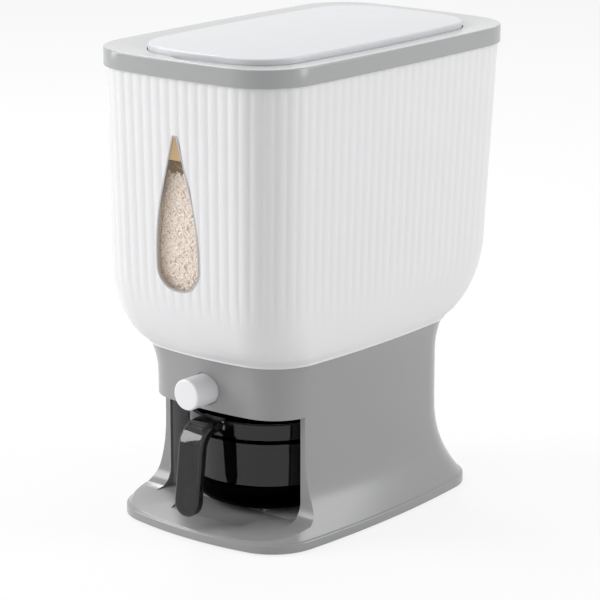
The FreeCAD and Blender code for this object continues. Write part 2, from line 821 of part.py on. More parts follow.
def make_push_rod():
    rod = rod_along(Y, vec(0, rod_front, button_height), rod_radius, rod_length)
    slot = slab(rod_radius + 1, rod_back - slot_depth, rod_back + 1,
                gate_bottom - gate_lift_clearance, gate_top + gate_lift_clearance)
    pin_hole = rod_along(Z, vec(0, rod_pin_y, button_height - rod_radius - 1),
                         rod_pin_radius, 2 * rod_radius + 2)
    return rod.cut(slot).cut(pin_hole)


def make_rod_pin():
    reach = math.sqrt(rod_radius ** 2 - rod_pin_radius ** 2)
    return rod_along(Z, vec(0, rod_pin_y, button_height - reach), rod_pin_radius, 2 * reach)


# ---- gate ----

def make_gate_plate():
    plate = slab(gate_half_width, gate_front, gate_back, gate_bottom, gate_top)
    upright = [e for e in plate.Edges if abs(e.tangentAt(e.FirstParameter).z) > 0.9]
    plate = plate.makeFillet(3.0, upright)
    tongue = slab(tongue_half_width, rod_back - slot_depth + 0.2, gate_front + 4,
                  gate_bottom, gate_top)
    tongue = tongue.common(box(-rod_radius + 0.4, rod_radius - 0.4, rod_back - slot_depth,
                               rod_back + 0.5, gate_bottom, gate_top).fuse(
        slab(tongue_half_width, rod_back + 0.5, gate_front + 4, gate_bottom, gate_top)))
    port = slab(outlet_width / 2, port_y - outlet_length / 2, port_y + outlet_length / 2,
                gate_bottom - 1, gate_top + 1)
    pin_hole = rod_along(Z, vec(0, rod_pin_y, gate_bottom - 1), rod_pin_radius,
                         gate_thickness + 2)
    return plate.fuse(tongue).cut(port).cut(pin_hole).removeSplitter()


def housing_screw_places():
    inset_x = housing_half_width - housing_screw_inset
    return corners_of(inset_x, housing_front + housing_screw_inset,
                      housing_back - housing_screw_inset)


def spring_channel():
    """Round channel for the spring, half in the housing and half in its cover."""
    return rod_along(Y, vec(0, gate_back - 1, button_height), spring_bore,
                     housing_back - spring_end_wall - gate_back + 1)


def make_gate_housing():
    block = slab(housing_half_width, housing_front, housing_back, ceiling_top, housing_top)
    travel_end = gate_back + button_travel + 3
    channel = slab(gate_half_width + gate_side_clearance, housing_front - 1, travel_end,
                   housing_floor, housing_top + 1)
    rod_room = slab(rod_radius + 1, housing_front - 1, housing_front + 4,
                    button_height - rod_radius - 1, housing_top + 1)
    housing = block.cut(channel).cut(spring_channel()).cut(rod_room)
    housing = housing.cut(slab(housing_half_width - 10, outlet_back_y + 6, housing_back - 6,
                               ceiling_top - 1, button_height - spring_bore - 2))
    chute_low = bay_top - chute_below_ceiling
    housing = housing.fuse(spigot_block(0, chute_low, ceiling_top))
    housing = housing.cut(outlet_block(0, chute_low - 1, housing_floor + 1))
    guide_hole = rod_along(Y, vec(0, housing_back - spring_end_wall, button_height),
                           spring_guide_radius, spring_end_wall + 1)
    housing = housing.cut(guide_hole)
    for x, y in housing_screw_places():
        housing = housing.cut(rod_along(Z, vec(x, y, ceiling_top - 1),
                                        screw_radius + screw_hole_clearance,
                                        housing_top - ceiling_top + 2))
    return housing.removeSplitter()


def make_gate_cover():
    cover = slab(housing_half_width, housing_front, housing_back, housing_top, cover_top)
    pad = slab(gate_half_width - 0.3, housing_front + 4, gate_back + button_travel,
               cover_pad, housing_top)
    collar = spigot_block(spigot_clearance + spigot_wall, cover_top, cover_top + 6)
    cover = cover.fuse([pad, collar])
    cover = cover.cut(spigot_block(spigot_clearance, cover_pad - 1, cover_top + 7))
    cover = cover.cut(spring_channel())
    for x, y in housing_screw_places():
        cover = cover.cut(rod_along(Z, vec(x, y, housing_top - 1),
                                    screw_radius + screw_hole_clearance, cover_thickness + 2))
    return cover.removeSplitter()


def make_chute_seal():
    ring = spigot_block(0, cover_pad, spigot_end)
    return ring.cut(outlet_block(0, cover_pad - 1, spigot_end + 1))


def make_housing_screws():
    length = cover_top - bay_top
    return Part.makeCompound([screw(vec(x, y, cover_top), Z * -1, length)
                              for x, y in housing_screw_places()])


def make_hopper_screws():
    length = deck_thickness + hopper_post_height - 1
    return Part.makeCompound([screw(vec(x, y, deck_bottom), Z, length)
                              for x, y in hopper_screw_places()])


def make_bottom_screws():
    return Part.makeCompound([screw(vec(x, y, plate_height), Z, 12)
                              for x, y in bottom_screw_places()])


# ---- return spring ----

def make_return_spring():
    wire_r = spring_wire / 2
    start = gate_back + wire_r + 0.1
    end = housing_back - spring_end_wall - wire_r - 0.1
    helix = Part.makeHelix(spring_pitch, end - start, spring_mean_radius)
    ring = Part.Wire(Part.makeCircle(wire_r, vec(spring_mean_radius, 0, 0), Y))
    coil = Part.Wire(helix.Edges).makePipeShell([ring], True, True)
    coil.Placement = FreeCAD.Placement(vec(0, start, button_height), FreeCAD.Rotation(Z, Y))
    return coil


def make_spring_guide():
    pin_front = gate_back + button_travel + 2
    length = housing_back - pin_front
    return rod_along(Y, vec(0, pin_front, button_height), spring_guide_radius, length)


# ---- cup ----

def cup_form(wall):
    """Drafted cup with a rounded lower edge, drawn in by wall."""
    bottom = cup_bottom + wall
    radius = cup_round - wall
    turn_top = bottom + radius
    height = cup_top_height - turn_top
    sections = []
    for share in (1.0, 0.5, 0.0):
        z = turn_top + height * share
        sections.append((inset(cup_plan, wall + cup_draft * (1 - share)), z))
    for k in range(1, 7):
        turn = k / 6 * math.pi / 2
        drawn_in = radius * (1 - math.cos(turn))
        sections.append((inset(cup_plan, wall + cup_draft + drawn_in),
                         turn_top - radius * math.sin(turn)))
    return loft(sections)


def make_cup_body():
    rim_low = cup_top_height - cup_rim_height
    band = prism(inset(cup_plan, -cup_rim_stand), rim_low, cup_top_height)
    top_edges = [e for e in band.Edges if e.BoundBox.ZMin > cup_top_height - 0.1]
    band = band.makeFillet(0.7, top_edges)
    cup = cup_form(0).fuse(band)
    return cup.cut(cup_form(cup_wall)).removeSplitter()


def strap_face(outer_cut, inner_cut):
    """Side view of the handle strap: out from the rim, round the bend and down.

    outer_cut and inner_cut draw in its two sides."""
    root_y = cup_front - cup_rim_stand + 1
    lean = math.atan2(handle_front_top - handle_front_low, handle_top - handle_low)
    down = vec(0, -math.sin(lean), -math.cos(lean))
    out = vec(0, -math.cos(lean), math.sin(lean))
    centre = vec(0, handle_front_top + handle_bend, handle_top - handle_bend)
    outer_r = handle_bend - outer_cut
    inner_r = handle_bend - handle_thickness + inner_cut
    run = (centre.z - handle_low + handle_bend) / math.cos(lean)
    turn = vec(0, -math.sin(math.pi / 4 - lean / 2), math.cos(math.pi / 4 - lean / 2))
    outer_top = centre + Z * outer_r
    inner_top = centre + Z * inner_r
    edges = [Part.makeLine(vec(0, root_y, outer_top.z), outer_top),
             Part.Arc(outer_top, centre + turn * outer_r, centre + out * outer_r).toShape(),
             Part.makeLine(centre + out * outer_r, centre + out * outer_r + down * run),
             Part.makeLine(centre + out * outer_r + down * run, centre + out * inner_r + down * run),
             Part.makeLine(centre + out * inner_r + down * run, centre + out * inner_r),
             Part.Arc(centre + out * inner_r, centre + turn * inner_r, inner_top).toShape(),
             Part.makeLine(inner_top, vec(0, root_y, inner_top.z)),
             Part.makeLine(vec(0, root_y, inner_top.z), vec(0, root_y, outer_top.z))]
    return Part.Face(Part.Wire(edges))


def strap(outer_cut, inner_cut, shrink):
    """The strap as wide as the handle, with a round lower end, drawn in by shrink."""
    half = handle_width / 2 - shrink
    face = strap_face(outer_cut, inner_cut)
    face.translate(vec(-half, 0, 0))
    body = face.extrude(vec(2 * half, 0, 0))
    end_z = handle_low + shrink + half
    tongue = slab(half, handle_front_low - 20, cup_front + 5, end_z, handle_top + 1)
    end = rod_along(Y, vec(0, handle_front_low - 20, end_z), half,
                    cup_front + 25 - handle_front_low)
    return body.common(tongue.fuse(end).removeSplitter())


def make_cup_handle():
    """Strap with rounded edges and a channel along its inner side."""
    body = strap(0, 0, 0)
    half = handle_width / 2
    rim_edges = [e for e in body.Edges
                 if e.BoundBox.YMax < cup_front - 1 and e.BoundBox.XLength < 2 * half - 0.1
                 and abs(e.Length - handle_thickness) > 0.5]
    rim_edges += [e for e in body.Edges
                  if e.BoundBox.XLength > 2 * half - 0.1 and e.BoundBox.ZMax < handle_low + half + 1
                  and e.Length > 2 * half + 1]
    body = body.makeFillet(handle_edge_round, rim_edges)
    channel = strap(handle_wall, -1, handle_wall)
    channel = channel.cut(slab(half, cup_front - 6, cup_front + 2, handle_low, handle_top + 1))
    return body.cut(channel).cut(prism(inset(cup_plan, -cup_rim_stand), handle_low, handle_top + 1))


NODES = {
    "lid_frame": make_lid_frame,
    "lid_panel": make_lid_panel,
    "lid_seal": make_lid_seal,
    "lid_hinge_pins": make_lid_hinge_pins,
    "hopper_shell": make_hopper_shell,
    "window_seal": make_window_seal,
    "window_lens": make_window_lens,
    "hopper_funnel": make_hopper_funnel,
    "hopper_screws": make_hopper_screws,
    "base_shell": make_base_shell,
    "bay_liner": make_bay_liner,
    "bottom_plate": make_bottom_plate,
    "bottom_screws": make_bottom_screws,
    "rubber_feet": make_rubber_feet,
    "button_cap": make_button_cap,
    "button_guide": make_button_guide,
    "push_rod": make_push_rod,
    "rod_pin": make_rod_pin,
    "gate_plate": make_gate_plate,
    "gate_housing": make_gate_housing,
    "gate_cover": make_gate_cover,
    "chute_seal": make_chute_seal,
    "housing_screws": make_housing_screws,
    "return_spring": make_return_spring,
    "spring_guide": make_spring_guide,
    "cup_body": make_cup_body,
    "cup_handle": make_cup_handle,
}


os.makedirs("parts", exist_ok=True)
for name, make in NODES.items():
    shape = make()
    shape.exportStep("parts/" + name + ".step")
    bounds = shape.optimalBoundingBox()
    print(name, "solids", len(shape.Solids), "valid", shape.isValid(), "volume", round(shape.Volume),
          "z", round(bounds.ZMin, 2), round(bounds.ZMax, 2),
          "y", round(bounds.YMin, 2), round(bounds.YMax, 2), "x", round(bounds.XMax, 2))
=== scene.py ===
import math
import random

import bpy
from mathutils import Matrix, Vector


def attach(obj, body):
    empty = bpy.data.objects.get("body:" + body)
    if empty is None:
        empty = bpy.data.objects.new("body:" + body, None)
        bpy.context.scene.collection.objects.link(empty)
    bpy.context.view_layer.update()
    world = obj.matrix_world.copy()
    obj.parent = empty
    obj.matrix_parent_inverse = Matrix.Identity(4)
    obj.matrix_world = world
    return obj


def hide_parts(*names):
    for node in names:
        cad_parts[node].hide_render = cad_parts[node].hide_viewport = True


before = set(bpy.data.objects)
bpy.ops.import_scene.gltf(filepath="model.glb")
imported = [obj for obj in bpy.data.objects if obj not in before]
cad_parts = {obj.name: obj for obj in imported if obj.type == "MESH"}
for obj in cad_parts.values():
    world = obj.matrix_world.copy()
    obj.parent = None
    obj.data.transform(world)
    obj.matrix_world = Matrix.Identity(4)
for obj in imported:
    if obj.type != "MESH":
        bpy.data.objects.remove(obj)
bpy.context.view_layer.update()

# Camera. It stands a little above the worktop, in front and to the right of
# the dispenser, so that the front is seen on the left and one side on the right.
look_at = Vector((0.0025, -0.0115, 0.1671))
camera_turn = math.radians(39.5)
camera_rise = math.radians(15.13)
camera_distance = 2.1276
camera_data = bpy.data.cameras.new("camera")
camera_data.sensor_width = 36.0
camera_data.lens = 157.7
camera = bpy.data.objects.new("camera", camera_data)
bpy.context.scene.collection.objects.link(camera)
camera.location = look_at + camera_distance * Vector((
    math.sin(camera_turn) * math.cos(camera_rise),
    -math.cos(camera_turn) * math.cos(camera_rise),
    math.sin(camera_rise)))
camera.rotation_euler = (look_at - camera.location).to_track_quat("-Z", "Y").to_euler()
bpy.context.scene.camera = camera


# Worktop and studio. A pale floor without an edge, a soft key light from the
# left, a wide fill from behind on the right, a lamp overhead and a small lamp behind.
worktop_colour = (0.86, 0.86, 0.86, 1)
worktop_whiteness = 0.80
worktop_side = 16.0
room_strength = 0.61
white = (1, 1, 1, 1)


def lamp(name, place, aim, width, height, power):
    """A soft white panel of width by height metres, turned towards its aim."""
    data = bpy.data.lights.new(name, "AREA")
    data.shape = "RECTANGLE"
    data.size = width
    data.size_y = height
    data.energy = power
    light = bpy.data.objects.new(name, data)
    bpy.context.scene.collection.objects.link(light)
    light.location = place
    light.rotation_euler = (Vector(aim) - Vector(place)).to_track_quat("-Z", "Y").to_euler()


def seen_directly(tree):
    """1 for what the camera, a mirror or a clear plastic sees, and 0 for the light on things."""
    path = tree.nodes.new("ShaderNodeLightPath")
    by_gloss = tree.nodes.new("ShaderNodeMath")
    by_gloss.operation = "MAXIMUM"
    by_any = tree.nodes.new("ShaderNodeMath")
    by_any.operation = "MAXIMUM"
    tree.links.new(path.outputs["Is Glossy Ray"], by_gloss.inputs[0])
    tree.links.new(path.outputs["Is Transmission Ray"], by_gloss.inputs[1])
    tree.links.new(path.outputs["Is Camera Ray"], by_any.inputs[0])
    tree.links.new(by_gloss.outputs[0], by_any.inputs[1])
    return by_any.outputs[0]


lamp("key_softbox", (-2.15, -1.65, 1.3), (0, 0, 0.2), width=1.3, height=1.8, power=56)
lamp("side_softbox", (2.0, 1.35, 1.2), (0, 0, 0.2), width=1.2, height=1.8, power=27.5)
lamp("top_softbox", (0.0, 0.2, 2.3), (0, 0, 0.2), width=1.4, height=1.4, power=3)
lamp("rim_strip", (-1.35, 0.85, 1.55), (0, -0.05, 0.05), width=0.5, height=0.5, power=9)

bpy.ops.object.select_all(action="DESELECT")
bpy.ops.mesh.primitive_plane_add(size=worktop_side, location=(0, 0, 0))
worktop = bpy.context.object
worktop.name = "worktop"
worktop_paint = bpy.data.materials.new("worktop_paint")
worktop_paint.use_nodes = True
tree = worktop_paint.node_tree
tree.nodes.clear()
out = tree.nodes.new("ShaderNodeOutputMaterial")
lit = tree.nodes.new("ShaderNodeBsdfDiffuse")
lit.inputs["Color"].default_value = worktop_colour
glow = tree.nodes.new("ShaderNodeEmission")
glow.inputs["Color"].default_value = white
glow.inputs["Strength"].default_value = 1.0
pale = tree.nodes.new("ShaderNodeMixShader")
pale.inputs["Fac"].default_value = worktop_whiteness
seen = tree.nodes.new("ShaderNodeMixShader")
tree.links.new(lit.outputs[0], pale.inputs[1])
tree.links.new(glow.outputs[0], pale.inputs[2])
tree.links.new(seen_directly(tree), seen.inputs["Fac"])
tree.links.new(lit.outputs[0], seen.inputs[1])
tree.links.new(pale.outputs[0], seen.inputs[2])
tree.links.new(seen.outputs[0], out.inputs["Surface"])
worktop.data.materials.append(worktop_paint)

studio = bpy.data.worlds.new("studio")
bpy.context.scene.world = studio
studio.use_nodes = True
tree = studio.node_tree
tree.nodes.clear()
out = tree.nodes.new("ShaderNodeOutputWorld")
room = tree.nodes.new("ShaderNodeBackground")
room.inputs["Color"].default_value = white
room.inputs["Strength"].default_value = room_strength
backdrop = tree.nodes.new("ShaderNodeBackground")
backdrop.inputs["Color"].default_value = white
backdrop.inputs["Strength"].default_value = 1.0
mix = tree.nodes.new("ShaderNodeMixShader")
tree.links.new(seen_directly(tree), mix.inputs["Fac"])
tree.links.new(room.outputs[0], mix.inputs[1])
tree.links.new(backdrop.outputs[0], mix.inputs[2])
tree.links.new(mix.outputs[0], out.inputs["Surface"])
bpy.context.scene.view_settings.view_transform = "Standard"


# Base. One grey injection-moulded stand with a satin skin: a flared foot, a slim
# waist and a front opening for the cup. The lining that forms the bay behind it is a lighter
# grey, painted light on the bay's inner walls.
plastic_bend = 1.49
weld_gap = 0.000004


def varied_finish(name, colour, roughness, scale, detail, colour_drift, gloss_drift):
    """A material whose colour and gloss drift a little, in soft clouds fixed to the piece."""
    material = bpy.data.materials.new(name)
    material.use_nodes = True
    tree = material.node_tree
    shader = tree.nodes["Principled BSDF"]
    place = tree.nodes.new("ShaderNodeTexCoord")
    cloud = tree.nodes.new("ShaderNodeTexNoise")
    cloud.inputs["Scale"].default_value = scale
    cloud.inputs["Detail"].default_value = detail
    tint = tree.nodes.new("ShaderNodeMix")
    tint.data_type = "RGBA"
    tint.inputs["A"].default_value = (*[c * colour_drift[0] for c in colour], 1)
    tint.inputs["B"].default_value = (*[min(1, c * colour_drift[1]) for c in colour], 1)
    gloss = tree.nodes.new("ShaderNodeMapRange")
    gloss.inputs["To Min"].default_value = roughness * gloss_drift[0]
    gloss.inputs["To Max"].default_value = roughness * gloss_drift[1]
    tree.links.new(place.outputs["Object"], cloud.inputs["Vector"])
    tree.links.new(cloud.outputs["Fac"], tint.inputs["Factor"])
    tree.links.new(cloud.outputs["Fac"], gloss.inputs["Value"])
    tree.links.new(tint.outputs["Result"], shader.inputs["Base Color"])
    tree.links.new(gloss.outputs["Result"], shader.inputs["Roughness"])
    return material, shader


def satin_plastic(name, colour, roughness, mottle=0.012, grain=0.03, translucency=0.0):
    """Moulded plastic: faint cloudiness in the colour, uneven gloss and a fine grain."""
    material, shader = varied_finish(name, colour, roughness, scale=26.0, detail=3.0,
                                     colour_drift=(1 - mottle, 1 + mottle),
                                     gloss_drift=(0.88, 1.12))
    shader.inputs["IOR"].default_value = plastic_bend
    tree = material.node_tree
    place = tree.nodes.new("ShaderNodeTexCoord")
    grit = tree.nodes.new("ShaderNodeTexNoise")
    grit.inputs["Scale"].default_value = 2600.0
    grit.inputs["Detail"].default_value = 1.0
    bump = tree.nodes.new("ShaderNodeBump")
    bump.inputs["Strength"].default_value = grain
    bump.inputs["Distance"].default_value = 0.0002
    tree.links.new(place.outputs["Object"], grit.inputs["Vector"])
    tree.links.new(grit.outputs["Fac"], bump.inputs["Height"])
    tree.links.new(bump.outputs["Normal"], shader.inputs["Normal"])
    if translucency:
        through = tree.nodes.new("ShaderNodeBsdfTranslucent")
        through.inputs["Color"].default_value = (*colour, 1)
        wall = tree.nodes.new("ShaderNodeMixShader")
        wall.inputs["Fac"].default_value = translucency
        tree.links.new(shader.outputs[0], wall.inputs[1])
        tree.links.new(through.outputs[0], wall.inputs[2])
        tree.links.new(wall.outputs[0], tree.nodes["Material Output"].inputs["Surface"])
    return material


def finish_node(node, material):
    """Gives a node that stays as it is its material."""
    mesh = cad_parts[node].data
    mesh.materials.clear()
    mesh.materials.append(material)


def moulding(node, name, body, material, angle):
    """A node's own shape with its seams closed and its skin shaded smooth."""
    bpy.ops.object.select_all(action="DESELECT")
    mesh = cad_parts[node].data.copy()
    piece = bpy.data.objects.new(name, mesh)
    bpy.context.scene.collection.objects.link(piece)
    piece.select_set(True)
    bpy.context.view_layer.objects.active = piece
    bpy.ops.object.mode_set(mode="EDIT")
    bpy.ops.mesh.select_all(action="SELECT")
    bpy.ops.mesh.remove_doubles(threshold=weld_gap)
    bpy.ops.mesh.customdata_custom_splitnormals_clear()
    bpy.ops.object.mode_set(mode="OBJECT")
    bpy.ops.object.shade_smooth_by_angle(angle=math.radians(angle))
    mesh.materials.clear()
    mesh.materials.append(material)
    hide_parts(node)
    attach(piece, body)
    return piece


base_grey = satin_plastic("base_grey_plastic", (0.284, 0.285, 0.288), 0.21)
base = moulding("base_shell", "base_moulding", "base", base_grey, 32)
# Painted light: the lining's paler grey stands in for light falling on the bay's shaded inner
# walls.
bay_painted_light_grey = satin_plastic("bay_painted_light_plastic", (0.62, 0.62, 0.625), 0.32)
finish_node("bay_liner", bay_painted_light_grey)

# Underside. A grey moulded cover plate held by four steel screws, on four soft
# rubber feet whose stems sit in holes in the plate.
under_grey = satin_plastic("under_grey_plastic", (0.30, 0.30, 0.31), 0.55, grain=0.12)
foot_rubber = satin_plastic("foot_rubber", (0.03, 0.03, 0.03), 0.75, mottle=0.2, grain=0.3)


def machined_steel(name, colour, roughness):
    """Drawn and turned steel: fine clouds in its colour and shine."""
    material, shader = varied_finish(name, colour, roughness, scale=900.0, detail=2.0,
                                     colour_drift=(0.92, 1.06), gloss_drift=(0.7, 1.3))
    shader.inputs["Metallic"].default_value = 1.0
    return material


steel = machined_steel("bright_steel", (0.62, 0.62, 0.63), 0.3)
finish_node("bottom_plate", under_grey)
finish_node("rubber_feet", foot_rubber)
finish_node("bottom_screws", steel)

# Gate. White moulded housing, cover and sliding plate under the hopper, with
# a soft grey seal at the outlet and a steel coil spring behind the plate.
inner_white = satin_plastic("inner_white_plastic", (0.74, 0.74, 0.73), 0.42)
soft_seal = satin_plastic("soft_grey_seal", (0.42, 0.42, 0.43), 0.7, mottle=0.05, grain=0.2)
for node in ("gate_housing", "gate_cover", "gate_plate", "button_guide", "push_rod"):
    finish_node(node, inner_white)
finish_node("chute_seal", soft_seal)
for node in ("return_spring", "spring_guide", "rod_pin", "housing_screws"):
    finish_node(node, steel)

# Push button. A round white cap, moulded with a rounded rim. It is fixed on the
# front end of the gate's rod, and its flange holds it back in the guide.
button_white = satin_plastic("button_white_plastic", (0.74, 0.74, 0.76), 0.28)
cap = moulding("button_cap", "button_moulding", "button", button_white, 35)

# Hopper. One white moulded bin: upright reeds all round it that fade out in
# the rounded bowl, and a drop-shaped hole in front for the sight window.
hopper_white = satin_plastic("hopper_white_plastic", (0.85, 0.85, 0.86), 0.34, translucency=0.18)
reed_count = 98
reed_points = 10
reed_depth = 0.0006
reed_fade_low = 0.172
reed_fade_high = 0.212
skin_under = 0.00006
bowl_levels = 22
wall_levels = 8
crease = math.radians(40)
hopper_top = (0.0982, -0.1582, 0.1582, 2.9982, 0.7982, 0.0442)
hopper_shoulder = (0.0959, -0.1557, 0.1447, 2.9959, 0.7959, 0.0419)
hopper_seam = (0.084, -0.132, 0.112, 0.9, 0.3, 0.044)
rim_z = 0.372
shoulder_z = 0.215
lip_z = 0.1465
foot_z = 0.145
bowl_turn = 0.909


def hopper_plan(z):
    """Half width, front, back and the three radii of the hopper's outline at z."""
    if z >= shoulder_z:
        share = (rim_z - z) / (rim_z - shoulder_z)
        ends = (hopper_top, hopper_shoulder)
    else:
        turn = min((shoulder_z - z) / (shoulder_z - lip_z), 1.0) * bowl_turn
        share = (1 - math.sqrt(1 - turn ** 2)) / (1 - math.sqrt(1 - bowl_turn ** 2))
        ends = (hopper_shoulder, hopper_seam)
    return [a + (b - a) * share for a, b in zip(*ends)]


def outline_points(plan, count):
    """Evenly spaced points and outward directions round an outline, from the front middle."""
    half_x, front, back, side_r, end_r, corner_r = plan
    half_y = (back - front) / 2
    mid_y = (back + front) / 2
    side = Vector((half_x - side_r, 0))
    end = Vector((0, half_y - end_r))
    span = end - side
    reach = side_r - corner_r
    along = (reach ** 2 - (end_r - corner_r) ** 2 + span.length ** 2) / (2 * span.length)
    across = math.sqrt(reach ** 2 - along ** 2)
    unit = span.normalized()
    corner = side + unit * along + Vector((-unit.y, unit.x)) * across
    to_end = (corner - end).normalized()
    to_side = (corner - side).normalized()
    end_turn = math.atan2(to_end.x, to_end.y)
    side_turn = math.atan2(to_side.x, to_side.y)
    lengths = (end_turn * end_r, (side_turn - end_turn) * corner_r,
               (math.pi / 2 - side_turn) * side_r)
    quarter = sum(lengths)
    points = []
    for k in range(count):
        run = 4 * quarter * k / count
        lap = int(run / quarter)
        rest = run - lap * quarter
        if lap in (1, 3):
            rest = quarter - rest
        if rest < lengths[0]:
            turn, centre, radius = rest / end_r, end, end_r
        elif rest < lengths[0] + lengths[1]:
            turn, centre, radius = end_turn + (rest - lengths[0]) / corner_r, corner, corner_r
        else:
            turn = side_turn + (rest - lengths[0] - lengths[1]) / side_r
            centre, radius = side, side_r
        out = Vector((math.sin(turn), math.cos(turn)))
        spot = centre + out * radius
        right = 1 if lap in (0, 1) else -1
        ahead = -1 if lap in (0, 3) else 1
        points.append((Vector((spot.x * right, mid_y + spot.y * ahead)),
                       Vector((out.x * right, out.y * ahead))))
    return points


levels = [foot_z - 0.001, foot_z + 0.0015, lip_z - 0.0001]
levels += [lip_z + (shoulder_z - lip_z) * k / bowl_levels for k in range(bowl_levels + 1)]
levels += [shoulder_z + (rim_z + 0.001 - shoulder_z) * k / wall_levels
           for k in range(1, wall_levels + 1)]
ring_count = reed_count * reed_points
bpy.ops.object.select_all(action="DESELECT")
bpy.ops.mesh.primitive_circle_add(vertices=ring_count, radius=0.1, fill_type="NOTHING",
                                  location=(0, 0, 0))
reed_form = bpy.context.object
bpy.ops.object.mode_set(mode="EDIT")
bpy.ops.mesh.select_all(action="SELECT")
for step in range(1, len(levels)):
    bpy.ops.mesh.extrude_edges_move(TRANSFORM_OT_translate={"value": (0, 0, 1)})
bpy.ops.mesh.edge_face_add()
bpy.ops.mesh.select_all(action="DESELECT")
bpy.ops.mesh.select_non_manifold()
bpy.ops.mesh.edge_face_add()
bpy.ops.object.mode_set(mode="OBJECT")
rings = [outline_points(hopper_plan(min(max(z, foot_z), rim_z)), ring_count) for z in levels]
for vertex in reed_form.data.vertices:
    bearing = math.atan2(vertex.co.x, -vertex.co.y) / (2 * math.pi)
    step = round(bearing * ring_count) % ring_count
    level = round(vertex.co.z)
    spot, outward = rings[level][step]
    fade = min(max((levels[level] - reed_fade_low) / (reed_fade_high - reed_fade_low), 0), 1)
    fade = fade * fade * (3 - 2 * fade)
    crest = abs(math.cos(math.pi * step / reed_points))
    sink = skin_under + reed_depth * fade * (1 - crest)
    vertex.co = (spot.x - outward.x * sink, spot.y - outward.y * sink, levels[level])
bpy.ops.object.mode_set(mode="EDIT")
bpy.ops.mesh.select_all(action="SELECT")
bpy.ops.mesh.normals_make_consistent(inside=False)
bpy.ops.object.mode_set(mode="OBJECT")

hopper = moulding("hopper_shell", "hopper_moulding", "base", hopper_white, 40)
trim = hopper.modifiers.new("reeds", "BOOLEAN")
trim.operation = "INTERSECT"
trim.solver = "MANIFOLD"
trim.object = reed_form
bpy.ops.object.select_all(action="DESELECT")
hopper.select_set(True)
bpy.context.view_layer.objects.active = hopper
bpy.ops.object.modifier_apply(modifier="reeds")
bpy.ops.object.shade_smooth_by_angle(angle=crease)
bpy.data.objects.remove(reed_form)
finish_node("hopper_funnel", inner_white)
finish_node("hopper_screws", steel)

# Sight window. A clear drop-shaped pane in a thin soft grey frame; rice shows
# behind it up to about three quarters of its height. The narrow tip gets a denser warm veil,
# painted light standing in for the lit inside of the bin.
tip_light_height = 0.306
pane_colour = (0.84, 0.58, 0.32)


def thin_pane(name, veil):
    """A thin clear pane: light passes straight through, and a warm veil stays on it."""
    material, shader = varied_finish(name, pane_colour, roughness=0.05, scale=60.0, detail=2.0,
                                     colour_drift=(0.94, 1.04), gloss_drift=(0.6, 1.4))
    shader.inputs["Alpha"].default_value = veil
    shader.inputs["IOR"].default_value = plastic_bend
    return material


def split_finish(piece, cuts, material, bands):
    """Level lines are cut into the skin, and the faces in the bands get a second finish."""
    bpy.ops.object.mode_set(mode="EDIT")
    for cut in cuts:
        bpy.ops.mesh.select_all(action="SELECT")
        bpy.ops.mesh.bisect(plane_co=(0, 0, cut), plane_no=(0, 0, 1))
    bpy.ops.object.mode_set(mode="OBJECT")
    piece.data.materials.append(material)
    for face in piece.data.polygons:
        face.material_index = int(any(low < face.center.z < high for low, high in bands))


window_clear = thin_pane("window_clear_plastic", 0.11)
# Painted light: the tip's denser veil stands in for the lit inside of the bin behind the pane.
window_tip_painted_light = thin_pane("window_tip_painted_light_plastic", 0.5)
pane = moulding("window_lens", "window_pane", "base", window_clear, 32)
split_finish(pane, (tip_light_height,), window_tip_painted_light, ((tip_light_height, rim_z),))
finish_node("window_seal", soft_seal)

# Rice. Dry white grains fill the hopper to about two thirds of its height. The
# heap is one closed body, with loose grains on its top and behind the window.
rice_top = 0.292
rice_foot = 0.197
rice_inset = 0.0034
flange_room = 0.0058
flange_half_width = 0.027
heap_points = 160
heap_steps = 6
heap_swell = 0.0022
heap_ripple = 0.0012
ripple_across = 60
ripple_along = 45
heap_crown = (1.0, 0.85, 0.7, 0.52, 0.33, 0.14)
grain_length = 0.0058
grain_width = 0.0021
grain_height = grain_width * 0.86


def rice_material(name, pale, shade):
    """Polished grains: milky and a little waxy. Each voronoi cell is domed like a grain, and its
    colour goes from pale in the middle to shade at its edge: painted shade between the grains.
    """
    material = bpy.data.materials.new(name)
    material.use_nodes = True
    tree = material.node_tree
    shader = tree.nodes["Principled BSDF"]
    shader.inputs["Roughness"].default_value = 0.42
    shader.inputs["Subsurface Weight"].default_value = 0.12
    shader.inputs["Subsurface Radius"].default_value = (0.004, 0.003, 0.002)
    shader.inputs["Subsurface Scale"].default_value = 0.4
    place = tree.nodes.new("ShaderNodeTexCoord")
    grains = tree.nodes.new("ShaderNodeTexVoronoi")
    grains.inputs["Scale"].default_value = 340.0
    crevice_shading = tree.nodes.new("ShaderNodeMix")
    crevice_shading.data_type = "RGBA"
    crevice_shading.inputs["A"].default_value = (*shade, 1)
    crevice_shading.inputs["B"].default_value = (*pale, 1)
    level = tree.nodes.new("ShaderNodeMapRange")
    level.inputs["From Max"].default_value = 0.9
    level.inputs["To Min"].default_value = 1.0
    level.inputs["To Max"].default_value = 0.0
    bump = tree.nodes.new("ShaderNodeBump")
    bump.inputs["Strength"].default_value = 0.5
    bump.inputs["Distance"].default_value = 0.0008
    bump.invert = True
    tree.links.new(place.outputs["Object"], grains.inputs["Vector"])
    tree.links.new(grains.outputs["Distance"], level.inputs["Value"])
    tree.links.new(level.outputs["Result"], crevice_shading.inputs["Factor"])
    tree.links.new(crevice_shading.outputs["Result"], shader.inputs["Base Color"])
    tree.links.new(grains.outputs["Distance"], bump.inputs["Height"])
    tree.links.new(bump.outputs["Normal"], shader.inputs["Normal"])
    return material


